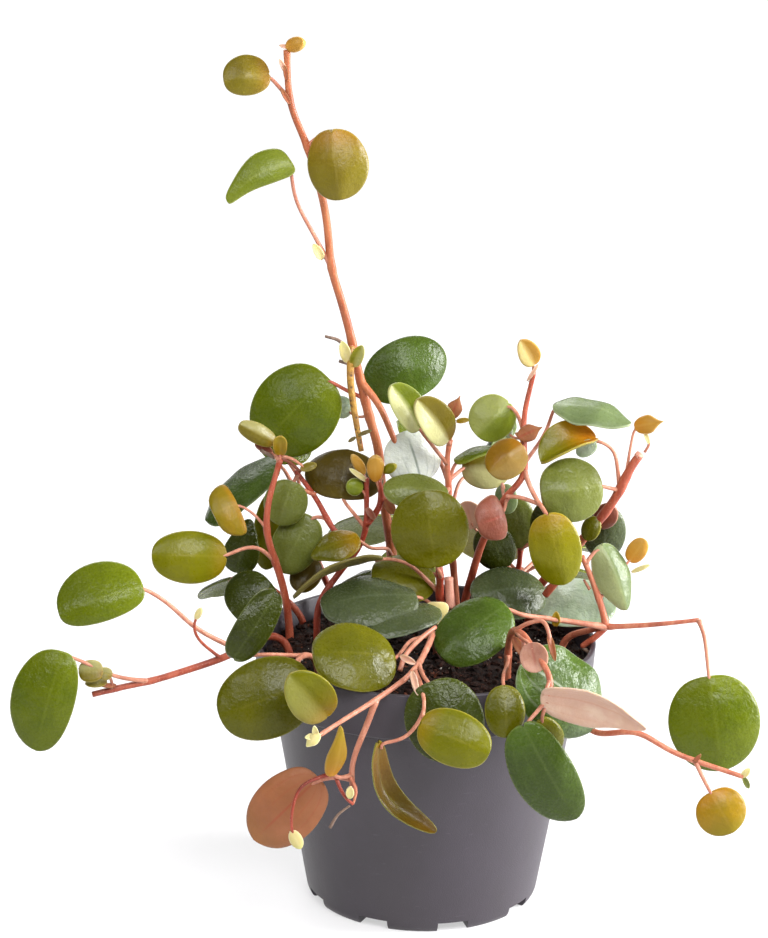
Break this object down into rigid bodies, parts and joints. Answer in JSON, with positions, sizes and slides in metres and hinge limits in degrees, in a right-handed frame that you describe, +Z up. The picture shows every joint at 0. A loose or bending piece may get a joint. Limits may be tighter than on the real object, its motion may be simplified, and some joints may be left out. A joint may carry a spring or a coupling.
{
  "type": "potted plant",
  "caption": "Potted peperomia with thick round leaves on coral stems, trailing over a tapered plastic nursery pot of soil.",
  "frame": {"origin": "centre of the pot's flat underside", "axes": "+Z up along the pot's axis; +Y runs to the back, away from the side the picture shows; +X to its right"},
  "size_m": [0.2563, 0.1766, 0.3016],
  "materials": {
    "grey_plastic": "satin, moulded",
    "potting_soil": "rough, damp and crumbly",
    "leaf_green": "waxy gloss",
    "leaf_dark": "waxy gloss",
    "leaf_olive": "waxy gloss",
    "leaf_yellow": "waxy gloss"
  },
  "bodies": {
    "root": {"pot": "grey_plastic", "soil": "potting_soil", "stem_tall": "leaf_olive", "stem_arching": "leaf_yellow", "stem_forked": "leaf_green", "stem_middle": "leaf_olive", "stem_crown": "leaf_green", "stem_upper_right": "leaf_olive", "stem_pruned": "leaf_olive", "stem_right": "leaf_green", "stem_right_low": "leaf_yellow", "stem_front_right": "leaf_green", "stem_front": "leaf_green", "stem_front_left": "leaf_olive", "stem_far_left": "leaf_green", "stem_left_low": "leaf_dark", "stem_back_left": "leaf_green", "stem_back_right": "leaf_dark", "stem_back": "leaf_green", "stem_back_trailing": "leaf_green"}
  },
  "joints": []
}
